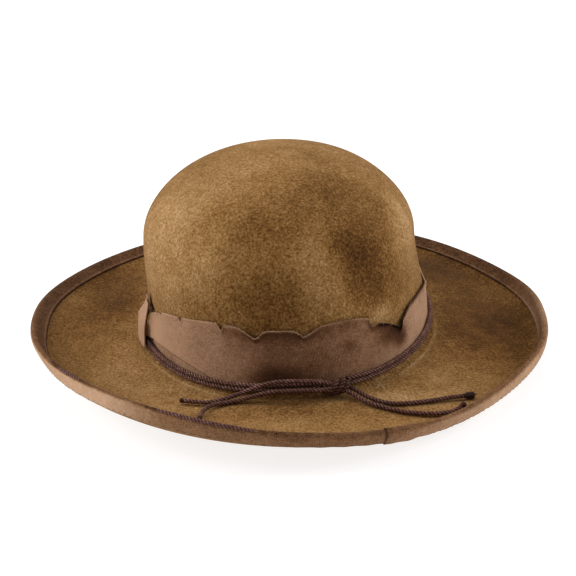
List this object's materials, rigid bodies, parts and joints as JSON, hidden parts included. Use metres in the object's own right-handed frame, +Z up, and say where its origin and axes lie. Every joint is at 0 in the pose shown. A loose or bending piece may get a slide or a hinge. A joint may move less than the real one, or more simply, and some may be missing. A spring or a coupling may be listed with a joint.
{
  "type": "pirate hat",
  "caption": "Round-crowned wide-brim felt hat with a bound, upturned rim, a torn ribbon hatband and a double cord tied in front.",
  "frame": {"origin": "centre of the head opening, in the plane of the bend between crown and brim", "axes": "+Z up the crown, -Y to the front of the hat, +X to the wearer's left"},
  "size_m": [0.3108, 0.3536, 0.1228],
  "materials": {
    "felt": "short-napped wool or fur felt, mottled ochre brown, rubbed and stained",
    "binding": "worn tan-brown grosgrain ribbon with fine cross ribs",
    "ribbon": "faded grosgrain ribbon, torn and scorched along its upper edge",
    "cord": "tightly twisted dark waxed cord",
    "thread": "dark sewing thread",
    "sweatband_leather": "smooth brown sweatband leather, darkened by wear",
    "reed": "dull plastic reed",
    "wire": "plain drawn wire"
  },
  "bodies": {
    "root": {"felt_body": "felt", "brim_binding": "binding", "binding_stitches": "thread", "brim_wire": "wire", "wire_joiner": "wire", "sweatband": "sweatband_leather", "sweatband_reed": "reed", "sweatband_stitches": "thread", "sweatband_bow": "binding", "hatband_ribbon": "ribbon", "hatband_tacks": "thread", "cord_strand_upper": "cord", "cord_strand_lower": "cord", "cord_knot": "cord", "tail_left_upper": "cord", "tail_left_lower": "cord", "tail_right_upper": "cord", "tail_right_lower": "cord", "tail_whipping": "thread"}
  },
  "joints": []
}
